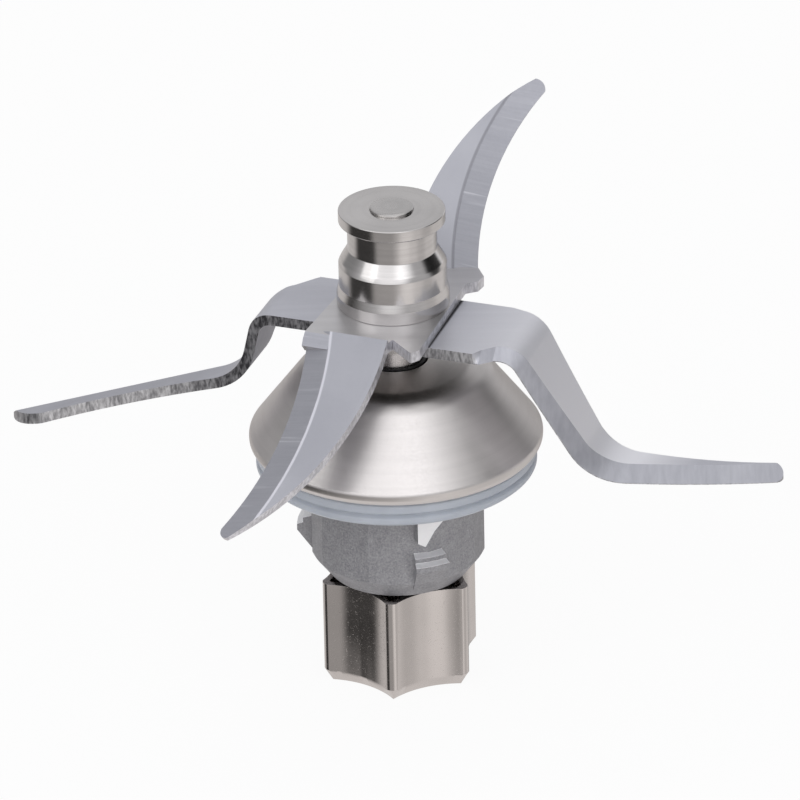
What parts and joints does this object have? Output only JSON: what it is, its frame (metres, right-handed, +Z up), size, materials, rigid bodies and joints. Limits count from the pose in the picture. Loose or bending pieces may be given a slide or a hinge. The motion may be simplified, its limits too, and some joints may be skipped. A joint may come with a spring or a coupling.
{
  "type": "blender blade",
  "caption": "Blade unit for a heated blender jug: crossed bent blades on a sealed spindle, domed cover, finned bearing housing with bayonet lugs and a star drive coupling.",
  "frame": {"origin": "on the spindle axis in the plane of the drive coupling's foot", "axes": "+Z up the spindle through the blades; +X towards the right-hand low blade arm; -Y towards the upper blade's arm that points down"},
  "size_m": [0.1243, 0.0717, 0.0881],
  "materials": {
    "blade_steel": "ground and tumbled stainless sheet",
    "cap_steel": "turned and polished stainless",
    "cover_steel": "pressed stainless sheet, satin",
    "spindle_steel": "ground stainless bar",
    "cast_aluminium": "as cast, lightly blasted",
    "nickel_plate": "nickel plated casting",
    "silicone": "clouded silicone",
    "black_rubber": "moulded nitrile rubber",
    "bearing_steel": "hardened and ground",
    "fastener_steel": "zinc plated steel"
  },
  "bodies": {
    "base": {"bearing_housing": "cast_aluminium", "dome_cover": "cover_steel", "jug_seal": "silicone", "preload_washer": "fastener_steel", "spindle_seal": "black_rubber", "retaining_ring": "fastener_steel", "lower_outer_ring": "bearing_steel", "upper_outer_ring": "bearing_steel"},
    "rotor": {"spindle": "spindle_steel", "drive_key": "fastener_steel", "star_coupling": "nickel_plate", "lock_washer": "fastener_steel", "coupling_nut": "fastener_steel", "hub_cap": "cap_steel", "upper_blade": "blade_steel", "lower_blade": "blade_steel", "lower_inner_ring": "bearing_steel", "upper_inner_ring": "bearing_steel"},
    "lower_balls": {"lower_ball_ring": "bearing_steel"},
    "upper_balls": {"upper_ball_ring": "bearing_steel"}
  },
  "joints": [
    {"name": "blade_spin", "type": "hinge", "parent": "base", "child": "rotor", "pos_m": [0, 0, 0], "axis": [0, 0, 1], "continuous": true},
    {"name": "lower_ball_roll", "type": "hinge", "parent": "base", "child": "lower_balls", "pos_m": [0, 0, 0], "axis": [0, 0, 1], "continuous": true},
    {"name": "upper_ball_roll", "type": "hinge", "parent": "base", "child": "upper_balls", "pos_m": [0, 0, 0], "axis": [0, 0, 1], "continuous": true}
  ],
  "couplings": [
    {"joint": "lower_ball_roll", "follows": "blade_spin", "ratio": 0.36},
    {"joint": "upper_ball_roll", "follows": "blade_spin", "ratio": 0.3677}
  ]
}
